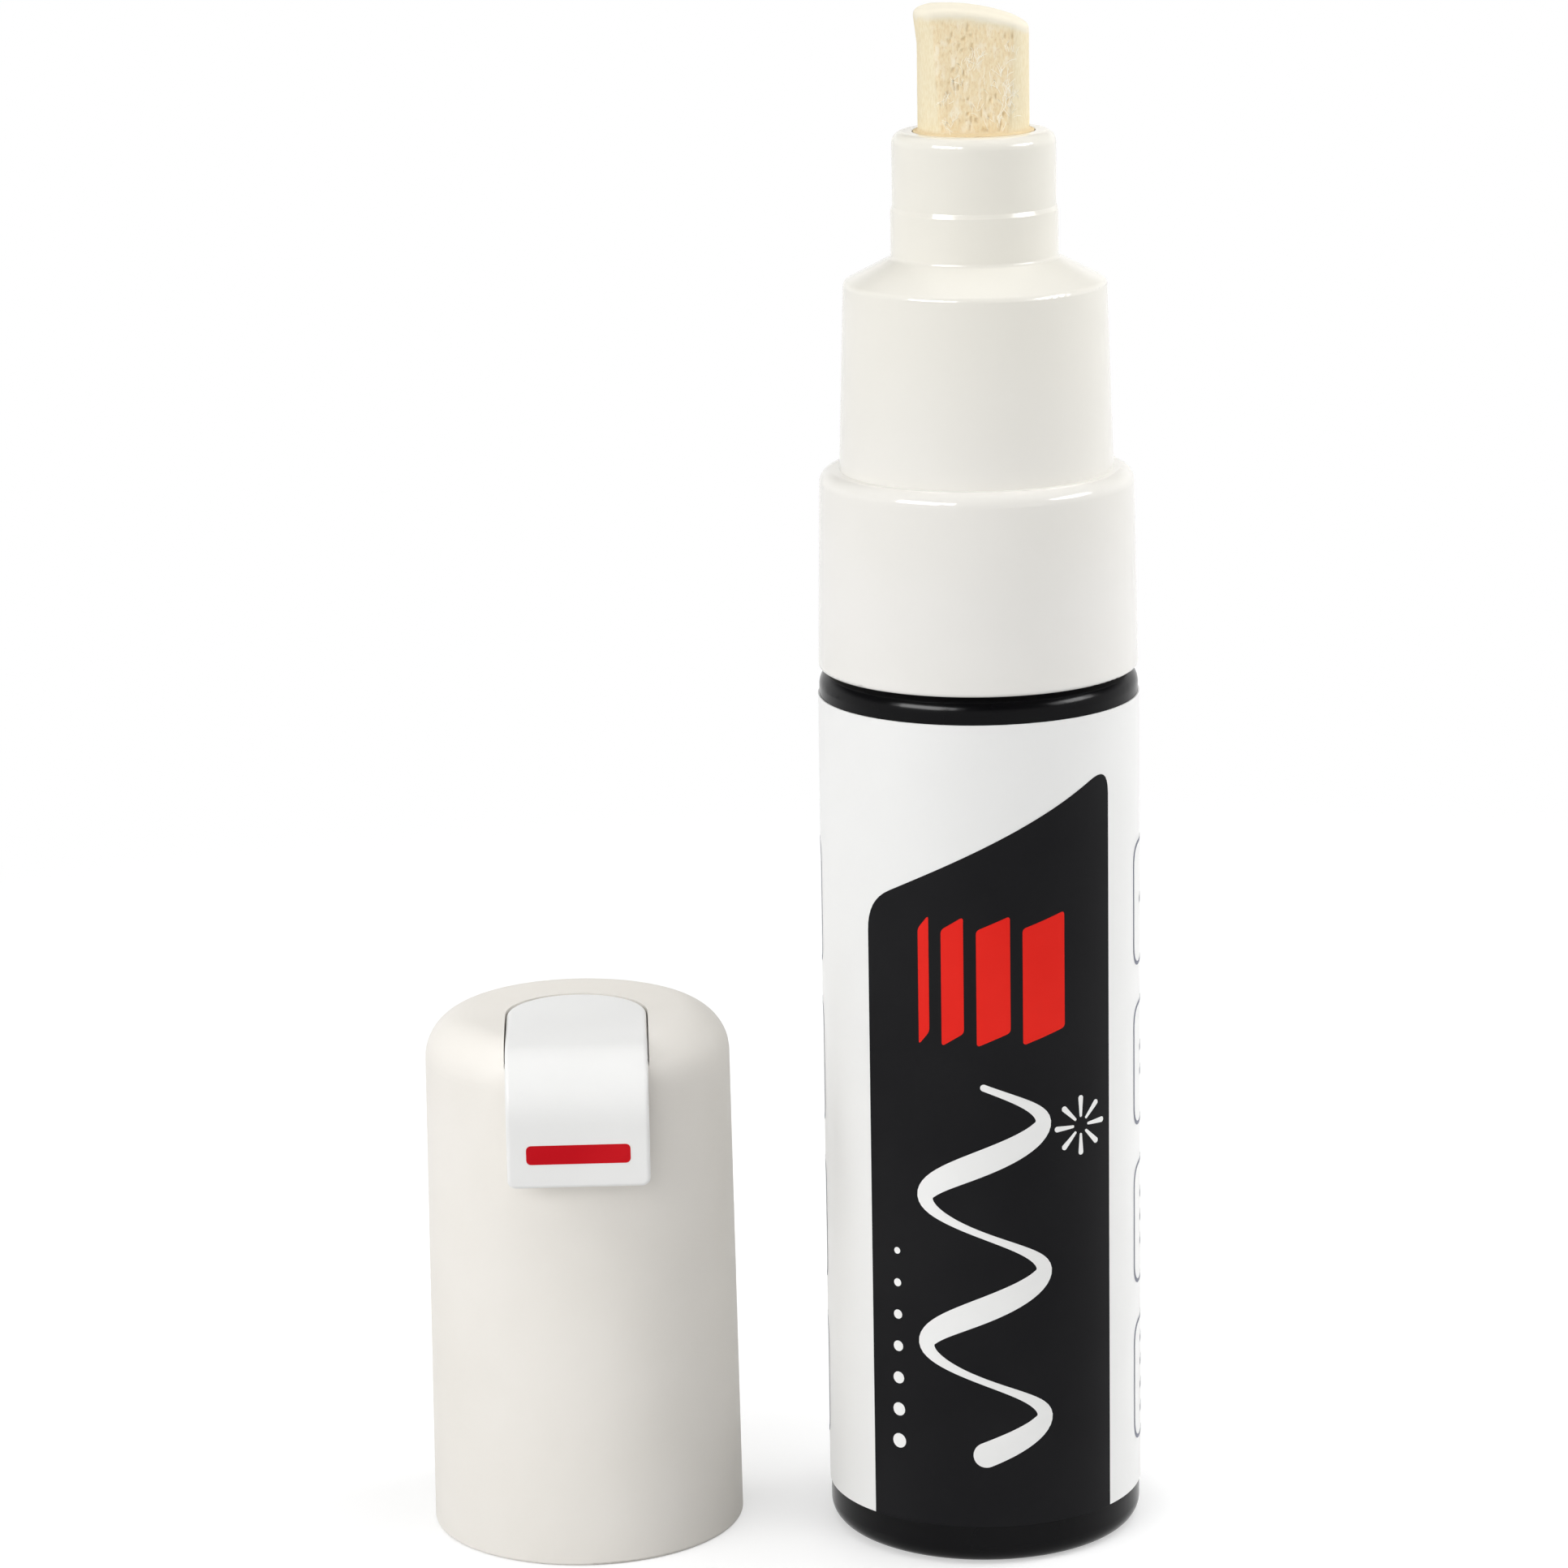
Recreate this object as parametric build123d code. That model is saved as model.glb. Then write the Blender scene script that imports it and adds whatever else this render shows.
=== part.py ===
from build123d import *
import math
import os

# Valve-action liquid chalk marker, open, with its cap standing mouth down beside it
# Millimetres, +Z up along the marker's axis, origin at the centre of the barrel's foot
# The nib's broad face and the cap's clip look towards -Y

# Barrel: a bottle with a closed foot, a rounded shoulder and a neck under the collar
barrel_radius = 11.38
barrel_wall = 1.4
barrel_floor = 2.0
barrel_height = 64.2
foot_round = 1.4
shoulder_round = 1.3
neck_step = 1.48
neck_wall = 1.5

# Label: a film sleeve round the barrel
label_thickness = 0.12
label_foot_margin = 3.0
label_top_margin = 1.95

# Front section: collar, tapered section, conical shoulder and nib holder in one moulding
collar_proud = 0.04
collar_taper = 0.27
collar_height = 14.28
collar_foot_round = 0.3
collar_top_round = 1.0
collar_roof = 1.4
neck_fit = 0.1
section_step = 1.42
section_taper = 0.44
section_height = 13.27
section_wall = 1.3
section_top_round = 0.45
shoulder_rise = 1.75
holder_foot_round = 0.3
holder_wall = 1.59
land_height = 3.3
land_step = 0.13
land_ramp = 0.3
land_round = 0.1
spout_height = 5.5
spout_round = 0.8
mouth_round = 0.06

# Nib: a round felt rod on a wider root, cut flat in front and behind, with a slanted, spread tip
nib_radius = 3.91
nib_root_step = 0.35
nib_root_rise = 0.08
nib_root_round = 0.06
nib_foot_thickness = 6.3
nib_tip_thickness = 5.4
nib_corner = 0.8
nib_length = 23.0
nib_stand_out = 8.51
nib_slant_drop = 1.15
nib_tip_crown = 0.62
nib_flare = 0.3
nib_flare_height = 2.4
nib_tip_round = 0.5
nib_fit = 0.05
nib_travel = 2.5

# Valve housing: clamped by its flange between the gasket and the section
gasket_thickness = 0.8
flange_thickness = 0.9
housing_fit = 0.25
housing_wall = 1.5
housing_front_wall = 1.6
housing_nose_gap = 0.6
housing_tail_depth = 11.0
housing_edge_round = 0.4

# Valve seal: a rubber ring with a raised lip that the plunger closes on
seal_fit = 0.05
seal_thickness = 1.0
seal_lip_height = 0.4
seal_lip_width = 0.8

# Plunger: head under the seal, fluted stem up to the nib, guide pin down through the retainer
# The shares are of the housing's chamber radius
head_share = 0.76
pin_share = 0.29
head_overlap = 0.5
head_thickness = 1.6
stem_gap = 0.95
stem_rib = 1.4
pin_fit = 0.08
pin_end_round = 0.5

# Spring retainer: a ported plug that closes the housing's tail
retainer_fit = 0.05
retainer_flange_width = 0.9
retainer_flange_thickness = 1.0
retainer_plug_height = 1.5
port_count = 4
port_margin = 0.25

# Spring: one open coil between the retainer and the plunger's head
# The share is of the housing's chamber radius, to the middle of the wire
spring_share = 0.53
spring_wire = 0.7
spring_turns = 7
spring_seat_gap = 0.02

# Mixing balls: loose in the reservoir
ball_radius = 2.75
ball_rest_gap = 0.1
ball_count = 2

# Cap: tapered shell, where it stands and how far its clip is turned from -Y
cap_place_x = -29.41
cap_place_y = 1.3
cap_turn_degrees = 1.7
cap_taper = 0.38
cap_height = 38.67
cap_top_round = 3.3
cap_top_wall = 2.6
cap_mouth_round = 0.25
cap_inner_round = 0.5
cap_fit = 0.15

# Cap liner: inner cap that seals on the nib holder's land
liner_wall = 1.0
liner_roof = 1.2
liner_flange_fit = 0.05
liner_shoulder_gap = 0.4
liner_lip_fit = 0.05
liner_lip_height = 2.0
liner_bore_relief = 0.2
liner_mouth_round = 0.3

# Clip: tongue let into the cap's top, bent over its edge into a flat tab
clip_width = 10.15
clip_thickness = 1.4
clip_proud = 1.68
clip_bend = 4.6
clip_tab_drop = 9.45
clip_tongue_back = 4.1
clip_corner_round = 0.6
clip_edge_round = 0.3
clip_peg_radius = 1.5
clip_peg_fit = 0.05
clip_slot_gap = 0.1
clip_slot_relief = 0.15

# One overrun for every cut
overrun = 1.0

# Heights that the pieces share, from the foot up
shoulder_z = barrel_height
collar_top_z = shoulder_z + collar_height
section_top_z = collar_top_z + section_height
land_foot_z = section_top_z + shoulder_rise
land_top_z = land_foot_z + land_height
rim_z = land_top_z + spout_height
clamp_z = collar_top_z - collar_roof
flange_foot_z = clamp_z - flange_thickness
neck_top_z = flange_foot_z - gasket_thickness
nib_tip_z = rim_z + nib_stand_out
nib_tail_z = nib_tip_z - nib_length
nib_root_z = rim_z + nib_root_rise
nib_flare_foot_z = nib_tip_z - nib_flare_height
housing_nose_z = nib_tail_z - nib_travel - housing_nose_gap
housing_tail_z = clamp_z - housing_tail_depth
seal_top_z = housing_nose_z - housing_front_wall
seat_z = seal_top_z - seal_thickness - seal_lip_height
head_foot_z = seat_z - head_thickness
plug_top_z = housing_tail_z + retainer_plug_height
retainer_foot_z = housing_tail_z - retainer_flange_thickness

# Radii that the pieces share
barrel_bore = barrel_radius - barrel_wall
neck_radius = barrel_radius - neck_step
neck_bore = neck_radius - neck_wall
ball_offset = neck_bore / 2
collar_radius = barrel_radius + collar_proud
collar_bore = neck_radius + neck_fit
collar_top_radius = collar_radius - collar_taper
section_radius = collar_top_radius - section_step
section_top_radius = section_radius - section_taper
section_bore = section_top_radius - section_wall
nib_root_radius = nib_radius + nib_root_step
holder_bore = nib_root_radius + nib_fit
land_radius = holder_bore + holder_wall
housing_radius = section_bore - housing_fit
chamber_radius = housing_radius - housing_wall
head_radius = chamber_radius * head_share
lip_radius = head_radius - head_overlap
valve_hole_radius = lip_radius - seal_lip_width
stem_radius = valve_hole_radius - stem_gap
pin_radius = chamber_radius * pin_share
spring_radius = chamber_radius * spring_share
spring_outer_radius = spring_radius + spring_wire / 2
liner_lip_radius = land_radius + liner_lip_fit
liner_bore = liner_lip_radius + liner_bore_relief
liner_radius = liner_bore + liner_wall
cap_radius = collar_radius
cap_top_radius = cap_radius - cap_taper
cap_bore = section_top_radius + cap_fit
cap_mouth_bore = section_radius + cap_fit
clip_stand = cap_radius + clip_proud

# Heights inside the cap, from its mouth up
cap_ceiling_z = cap_height - cap_top_wall
clip_floor_z = cap_height - clip_thickness
liner_mouth_z = section_height + shoulder_rise + liner_shoulder_gap


def turned(profile):
    """Solid turned about Z from corners given as radius, height and rounding."""
    points = [(radius, 0, height) for radius, height, rounding in profile]
    rounds = [rounding for radius, height, rounding in profile]
    outline = FilletPolyline(*points, radius=rounds, close=True)
    return revolve(make_face(outline.edges()), Axis.Z)


def ring(inner, outer, foot, top):
    """Plain ring about Z."""
    return turned([(inner, foot, 0), (outer, foot, 0), (outer, top, 0), (inner, top, 0)])


def bar(section, foot, top):
    """A plan sketch raised from one height to another."""
    return extrude(Pos(0, 0, foot) * section, top - foot)


def make_barrel():
    inner_ledge_z = shoulder_z - barrel_wall
    return turned([
        (0, 0, 0),
        (barrel_radius, 0, foot_round),
        (barrel_radius, shoulder_z, shoulder_round),
        (neck_radius, shoulder_z, 0),
        (neck_radius, neck_top_z, 0),
        (neck_bore, neck_top_z, 0),
        (neck_bore, inner_ledge_z, 0),
        (barrel_bore, inner_ledge_z, 0),
        (barrel_bore, barrel_floor, foot_round),
        (0, barrel_floor, 0),
    ])


def make_label():
    outer = barrel_radius + label_thickness
    return ring(barrel_radius, outer, label_foot_margin, shoulder_z - label_top_margin)


def make_front_section():
    spout_radius = land_radius - land_step
    roof_radius = land_radius - section_wall
    return turned([
        (collar_bore, shoulder_z, 0),
        (collar_radius, shoulder_z, collar_foot_round),
        (collar_top_radius, collar_top_z, collar_top_round),
        (section_radius, collar_top_z, 0),
        (section_top_radius, section_top_z, section_top_round),
        (land_radius, land_foot_z, holder_foot_round),
        (land_radius, land_top_z, land_round),
        (spout_radius, land_top_z + land_ramp, land_round),
        (spout_radius, rim_z, spout_round),
        (holder_bore, rim_z, mouth_round),
        (holder_bore, land_foot_z - section_wall, 0),
        (roof_radius, land_foot_z - section_wall, 0),
        (section_bore, section_top_z - section_wall, 0),
        (section_bore, clamp_z, 0),
        (collar_bore, clamp_z, 0),
    ])


def nib_section(height):
    """Plan of the exposed nib: a disc cut flat in front and behind, wider on its high side near the tip."""
    rise_share = (height - nib_root_z) / (nib_tip_z - nib_root_z)
    thickness = nib_foot_thickness + (nib_tip_thickness - nib_foot_thickness) * rise_share
    spread = nib_flare * max(0, height - nib_flare_foot_z) / nib_flare_height
    disc = Pos(-spread / 2, 0) * Circle(nib_radius + spread / 2)
    plan = disc & Rectangle(2 * (nib_radius + spread), thickness)
    return Pos(0, 0, height) * fillet(plan.vertices(), nib_corner)


def nib_front_outline():
    """Front outline of the nib's exposed part: straight sides under a slanted, crowned tip."""
    high = (-nib_radius - nib_flare, nib_tip_z)
    low = (nib_radius, nib_tip_z - nib_slant_drop)
    crown = ((high[0] + low[0]) / 2, (high[1] + low[1]) / 2 + nib_tip_crown)
    outline = Polyline(high, (high[0], nib_root_z), (low[0], nib_root_z), low)
    outline += ThreePointArc(low, crown, high)
    return Plane.XZ * make_face(outline.edges())


def make_nib():
    heights = [nib_root_z, nib_flare_foot_z, nib_tip_z + nib_tip_crown]
    blank = loft([nib_section(height) for height in heights], ruled=True)
    tip = blank & extrude(nib_front_outline(), 2 * nib_radius, both=True)
    tip = fillet(tip.faces().sort_by(Axis.Z)[-1].edges(), nib_tip_round)
    root = turned([
        (0, nib_tail_z, 0),
        (nib_root_radius, nib_tail_z, nib_root_round),
        (nib_root_radius, nib_root_z, nib_root_round),
        (0, nib_root_z, 0),
    ])
    return root + tip


def make_neck_gasket():
    return ring(neck_bore, neck_radius, neck_top_z, flange_foot_z)


def make_valve_housing():
    return turned([
        (valve_hole_radius, housing_nose_z, 0),
        (housing_radius, housing_nose_z, housing_edge_round),
        (housing_radius, clamp_z, 0),
        (neck_radius, clamp_z, 0),
        (neck_radius, flange_foot_z, 0),
        (housing_radius, flange_foot_z, 0),
        (housing_radius, housing_tail_z, 0),
        (chamber_radius, housing_tail_z, 0),
        (chamber_radius, seal_top_z, 0),
        (valve_hole_radius, seal_top_z, 0),
    ])


def make_valve_seal():
    outer = chamber_radius - seal_fit
    lip_root_z = seal_top_z - seal_thickness
    return turned([
        (valve_hole_radius, seal_top_z, 0),
        (outer, seal_top_z, 0),
        (outer, lip_root_z, 0),
        (lip_radius, lip_root_z, 0),
        (lip_radius, seat_z, 0),
        (valve_hole_radius, seat_z, 0),
    ])


def make_valve_plunger():
    turned_part = turned([
        (0, seat_z, 0),
        (head_radius, seat_z, 0),
        (head_radius, head_foot_z, 0),
        (pin_radius, head_foot_z, 0),
        (pin_radius, retainer_foot_z, pin_end_round),
        (0, retainer_foot_z, 0),
    ])
    ribs = Rectangle(2 * stem_radius, stem_rib) + Rectangle(stem_rib, 2 * stem_radius)
    return turned_part + bar(ribs & Circle(stem_radius), seat_z, nib_tail_z)


def make_spring_retainer():
    plug_radius = chamber_radius - retainer_fit
    flange_radius = chamber_radius + retainer_flange_width
    pin_bore = pin_radius + pin_fit
    body = turned([
        (pin_bore, retainer_foot_z, 0),
        (flange_radius, retainer_foot_z, 0),
        (flange_radius, housing_tail_z, 0),
        (plug_radius, housing_tail_z, 0),
        (plug_radius, plug_top_z, 0),
        (pin_bore, plug_top_z, 0),
    ])
    port_band = plug_radius - spring_outer_radius
    port_circle = spring_outer_radius + port_band / 2
    port = Circle(port_band / 2 - port_margin)
    ports = Sketch() + PolarLocations(port_circle, port_count) * port
    return body - bar(ports, retainer_foot_z - overrun, plug_top_z + overrun)


def helix_point(radius, foot, rise_per_radian, angle):
    """A point of the coil's centre line and the direction of the wire there."""
    point = Vector(radius * math.cos(angle), radius * math.sin(angle), foot + rise_per_radian * angle)
    heading = Vector(-radius * math.sin(angle), radius * math.cos(angle), rise_per_radian)
    return point, heading.normalized()


def biarc(start, start_heading, end, end_heading):
    """Two arcs that leave start and reach end along the given directions."""
    chord = end - start
    sum_heading = start_heading + end_heading
    square = 2 * start_heading.dot(end_heading) - 2
    linear = -2 * chord.dot(sum_heading)
    constant = chord.dot(chord)
    reach = (-linear - math.sqrt(linear * linear - 4 * square * constant)) / (2 * square)
    first = start + start_heading * reach
    second = end - end_heading * reach
    joint = (first + second) * 0.5
    return [
        TangentArc(start, joint, tangent=start_heading),
        TangentArc(joint, end, tangent=second - first),
    ]


def coil_gap(radius, rise_per_radian, turns, wire):
    """Least gap of the coil to itself, measured on points along its centre line."""
    steps_per_turn = 48
    points = [
        helix_point(radius, 0, rise_per_radian, 2 * math.pi * step / steps_per_turn)[0]
        for step in range(turns * steps_per_turn + 1)
    ]
    least = min(
        (points[later] - points[earlier]).length
        for earlier in range(len(points))
        for later in range(earlier + steps_per_turn // 2, len(points))
    )
    return least - wire


def make_valve_spring():
    foot = plug_top_z + spring_wire / 2 + spring_seat_gap
    top = head_foot_z - spring_wire / 2 - spring_seat_gap
    rise_per_radian = (top - foot) / (2 * math.pi * spring_turns)
    path = Curve()
    for half_turn in range(2 * spring_turns):
        start, start_heading = helix_point(spring_radius, foot, rise_per_radian, math.pi * half_turn)
        end, end_heading = helix_point(spring_radius, foot, rise_per_radian, math.pi * (half_turn + 1))
        path += biarc(start, start_heading, end, end_heading)
    first_point, first_heading = helix_point(spring_radius, foot, rise_per_radian, 0)
    section = Plane(origin=first_point, z_dir=first_heading) * Circle(spring_wire / 2)
    print("spring gap", round(coil_gap(spring_radius, rise_per_radian, spring_turns, spring_wire), 3))
    return sweep(section, path=path)


def make_mixing_ball(index):
    angle = 2 * math.pi * index / ball_count
    height = barrel_floor + ball_rest_gap + ball_radius
    return Pos(ball_offset * math.cos(angle), ball_offset * math.sin(angle), height) * Sphere(ball_radius)


def clip_side(stand, thickness, bend, foot, back):
    """Side outline of the clip: tongue, bend and tab, looking along X, as Y and Z pairs."""
    centre_y = -stand + bend
    centre_z = cap_height - bend
    inner = bend - thickness
    inner_y = centre_y - inner
    outline = Polyline((centre_y, cap_height), (back, cap_height), (back, cap_height - thickness),
                       (centre_y, cap_height - thickness))
    outline += RadiusArc((centre_y, cap_height - thickness), (inner_y, centre_z), -inner)
    outline += Polyline((inner_y, centre_z), (inner_y, foot), (-stand, foot), (-stand, centre_z))
    outline += RadiusArc((-stand, centre_z), (centre_y, cap_height), bend)
    return make_face(outline.edges())


def tongue_plan(width, back, front):
    """Plan outline of the tongue: straight sides and a half-round back end."""
    centre_y = back - width / 2
    straight = Pos(0, (centre_y + front) / 2) * Rectangle(width, centre_y - front)
    return straight + Pos(0, centre_y) * Circle(width / 2)


def make_clip_slot():
    """What the clip's tongue and bend need cut out of the cap's top."""
    back = clip_tongue_back + clip_slot_gap
    front = -clip_stand - overrun
    bend_y = -clip_stand + clip_bend
    plan = tongue_plan(clip_width + 2 * clip_slot_gap, back, front)
    pocket = bar(plan, clip_floor_z, cap_height + overrun)
    relief_foot_z = cap_height - clip_bend
    relief_half = clip_width / 2 + clip_slot_gap
    relief_radius = clip_bend - clip_thickness - clip_slot_relief
    relief = Pos(0, (bend_y + front) / 2, (relief_foot_z + cap_height) / 2) * Box(
        2 * relief_half, bend_y - front, cap_height - relief_foot_z)
    keep = Pos(0, bend_y, relief_foot_z) * Rot(0, 90, 0) * Cylinder(relief_radius, 2 * relief_half)
    return pocket + (relief - keep)


def make_cap_shell():
    body = turned([
        (cap_mouth_bore, 0, cap_mouth_round),
        (cap_radius, 0, cap_mouth_round),
        (cap_top_radius, cap_height, cap_top_round),
        (0, cap_height, 0),
        (0, cap_ceiling_z, 0),
        (cap_bore, cap_ceiling_z, cap_inner_round),
        (cap_bore, section_height, 0),
    ])
    peg_hole = bar(Circle(clip_peg_radius + clip_peg_fit), cap_ceiling_z - overrun, cap_height)
    return body - make_clip_slot() - peg_hole


def make_cap_liner():
    flange_radius = cap_bore - liner_flange_fit
    flange_foot = cap_ceiling_z - liner_roof
    return turned([
        (0, cap_ceiling_z, 0),
        (flange_radius, cap_ceiling_z, cap_inner_round),
        (flange_radius, flange_foot, 0),
        (liner_radius, flange_foot, 0),
        (liner_radius, liner_mouth_z, liner_mouth_round),
        (liner_lip_radius, liner_mouth_z, liner_mouth_round),
        (liner_lip_radius, liner_mouth_z + liner_lip_height, 0),
        (liner_bore, liner_mouth_z + liner_lip_height + liner_bore_relief, 0),
        (liner_bore, flange_foot, 0),
        (0, flange_foot, 0),
    ])


def make_cap_clip():
    foot = cap_height - clip_tab_drop
    side = Plane.YZ * clip_side(clip_stand, clip_thickness, clip_bend, foot, clip_tongue_back)
    blank = extrude(side, clip_width / 2, both=True)
    plan = tongue_plan(clip_width, clip_tongue_back, -clip_stand - overrun)
    blank = blank & bar(plan, foot - overrun, cap_height + overrun)
    foot_corners = blank.edges().filter_by(Axis.Y).filter_by(
        lambda edge: edge.center().Z < foot + clip_thickness)
    blank = fillet(foot_corners, clip_corner_round)
    tab_face = blank.faces().sort_by(Axis.Y)[0]
    blank = fillet(tab_face.edges(), clip_edge_round)
    return blank + bar(Circle(clip_peg_radius), cap_ceiling_z, clip_floor_z)


def beside_marker(piece):
    """A cap piece, made about Z, moved to where the cap stands."""
    return Pos(cap_place_x, cap_place_y, 0) * Rot(0, 0, cap_turn_degrees) * piece


def make_parts():
    parts = {
        "barrel": make_barrel(),
        "barrel_label": make_label(),
        "front_section": make_front_section(),
        "nib": make_nib(),
        "neck_gasket": make_neck_gasket(),
        "valve_housing": make_valve_housing(),
        "valve_seal": make_valve_seal(),
        "valve_plunger": make_valve_plunger(),
        "spring_retainer": make_spring_retainer(),
        "valve_spring": make_valve_spring(),
        "cap_shell": beside_marker(make_cap_shell()),
        "cap_liner": beside_marker(make_cap_liner()),
        "cap_clip": beside_marker(make_cap_clip()),
    }
    for index in range(ball_count):
        parts[f"mixing_ball_{index + 1}"] = make_mixing_ball(index)
    return parts


os.makedirs("parts", exist_ok=True)
for name, solid in make_parts().items():
    export_step(solid, f"parts/{name}.step")
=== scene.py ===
import math
import random

import bmesh
import bpy
from mathutils import Matrix, Vector, noise
from mathutils.bvhtree import BVHTree


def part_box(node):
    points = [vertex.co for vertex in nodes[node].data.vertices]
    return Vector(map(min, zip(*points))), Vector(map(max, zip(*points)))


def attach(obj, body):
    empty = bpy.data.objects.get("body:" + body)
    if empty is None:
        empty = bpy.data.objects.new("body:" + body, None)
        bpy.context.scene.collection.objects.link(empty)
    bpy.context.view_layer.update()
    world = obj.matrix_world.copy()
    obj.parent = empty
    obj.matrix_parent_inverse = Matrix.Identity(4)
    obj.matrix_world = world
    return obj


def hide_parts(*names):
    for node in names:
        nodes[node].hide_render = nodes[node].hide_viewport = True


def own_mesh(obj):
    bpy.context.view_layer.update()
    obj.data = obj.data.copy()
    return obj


# Looks of an open liquid chalk marker and the cap that stands beside it, in metres
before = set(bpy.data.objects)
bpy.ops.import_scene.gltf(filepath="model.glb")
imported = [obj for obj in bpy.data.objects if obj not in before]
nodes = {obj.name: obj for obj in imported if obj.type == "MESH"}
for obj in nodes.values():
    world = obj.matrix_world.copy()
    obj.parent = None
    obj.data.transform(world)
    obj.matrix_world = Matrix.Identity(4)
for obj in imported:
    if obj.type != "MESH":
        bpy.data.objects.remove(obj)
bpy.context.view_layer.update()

# Camera, as the reference view was taken
camera_place = (-0.01402, -0.38344, 0.14870)
camera_pitch = 0.2383
camera_roll = 0.0174
camera_lens_mm = 126.17
camera_sensor_mm = 36.0

# Soft boxes round the object: azimuth and elevation in degrees from the camera's side, width, height, watts
# The fill boxes give the plain light and the glint boxes only what gloss shows
fill_boxes = {
    "left_low_box": (-55, 12, 0.40, 0.50, 2.14),
    "left_back_box": (-125, 25, 0.40, 0.50, 0.88),
    "front_left_box": (-18, 22, 0.40, 0.40, 1.04),
    "right_box": (83, 26, 0.56, 0.16, 0.36),
    "right_side_box": (100, 15, 0.40, 0.50, 2.22),
    "right_back_box": (125, 25, 0.40, 0.50, 0.50),
    "right_top_box": (60, 55, 0.40, 0.40, 0.74),
    "top_box": (0, 85, 0.60, 0.60, 2.12),
    "back_top_box": (180, 55, 0.60, 0.40, 0.34),
}
glint_boxes = {
    "left_glint": (-46, 31, 0.36, 0.20, 5.8),
    "left_spot_glint": (-21, 31, 0.05, 0.16, 0.6),
    "right_glint": (76, 30, 0.38, 0.16, 1.6),
    "right_hot_glint": (78, 30, 0.20, 0.16, 1.2),
}
box_distance = 0.62
light_aim = Vector((-0.01, 0.0, 0.055))

# World: a faint even light, which is seen as white low down and dim overhead
white = (1.0, 1.0, 1.0, 1.0)
world_strength = 0.02
dome_dim = 0.12
dome_white_below = 0.22
dome_dim_above = 0.45

# Floor: lit paper round the object that fades into plain white
floor_half = 3.0
floor_lit_radius = 0.09
floor_white_radius = 0.22
floor_lift = 0.44
floor_rough = 0.9
floor_patch = 0.05
floor_tones = ((0.3, (0.61, 0.61, 0.61)), (0.7, (0.63, 0.63, 0.63)))

# Layers of ink, each above the one before
ink_thickness = 0.000008
first_lift = 0.000010
second_lift = 0.000022

# Label film: one sheet round the barrel, lapped at the back, with its ink inside the CAD label's reach
label_low, label_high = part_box("barrel_label")
label_radius = label_high.x - second_lift - ink_thickness
film_thickness = label_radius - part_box("barrel")[1].x
film_step = math.radians(2.0)
film_lap = math.radians(9.0)
film_lap_rise = math.radians(5.0)

# How flat outlines become meshes
weld_distance = 0.0000005
sharp_angle = math.radians(30)
round_facets = 8

# Dark panel of the print, as places across the film from the front and up from the floor
panel_left = -0.0092
panel_right = 0.0100
panel_left_top = 0.0490
panel_right_top = 0.0585
panel_corner = 0.0022

# Red bars of growing width
bar_widths = (0.0008, 0.0016, 0.0024, 0.0032)
bar_gap = 0.0009
bar_foot = 0.0400
bar_height = 0.0085
bar_slant = 0.0010
bar_corner = 0.0003

# White chalk strokes: a wave, a star and a column of dots
wave_foot = 0.0085
wave_top = 0.0360
wave_middle = -0.0003
wave_reach = 0.0043
wave_turns = 2.5
wave_points = 120
wave_thin = 0.0005
wave_broad = 0.0019
star_middle = Vector((0.0071, 0.0325))
star_inner = 0.0007
star_outer = 0.0020
star_rays = 8
star_width = 0.00042
dots_across = -0.0069
dots_foot = 0.0090
dots_spacing = 0.0024
dot_radii = (0.00055, 0.0005, 0.00045, 0.0004, 0.00035, 0.0003, 0.00025)

# Outlined squares at the sides, with plain bars in them
square_columns = (0.0186, -0.0214)
square_heights = (0.0470, 0.0350, 0.0230, 0.0110)
square_half = 0.0046
square_corner = 0.0016
square_line = 0.00024
tick_width = 0.0005
tick_spacing = 0.0018
tick_reach = square_half / 2
tick_corner = tick_width / 4

# Red bar on the clip's tab, measured from the cap's axis and the clip's foot
cap_low, cap_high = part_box("cap_shell")
cap_axis = (cap_low + cap_high) / 2
cap_turn = math.radians(1.7)
clip_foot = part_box("cap_clip")[0].z
tab_front = 0.01310
mark_half_width = 0.0037
mark_half_height = 0.0007
mark_above_foot = 0.0025
mark_corner = 0.0004

# How much each kind of surface mirrors, as the shader's specular level, where most plastic has 0.5
plain_gloss = 0.5
white_gloss = 0.4
barrel_gloss = 0.10
satin_gloss = 0.14
ink_gloss = 0.06

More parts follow.
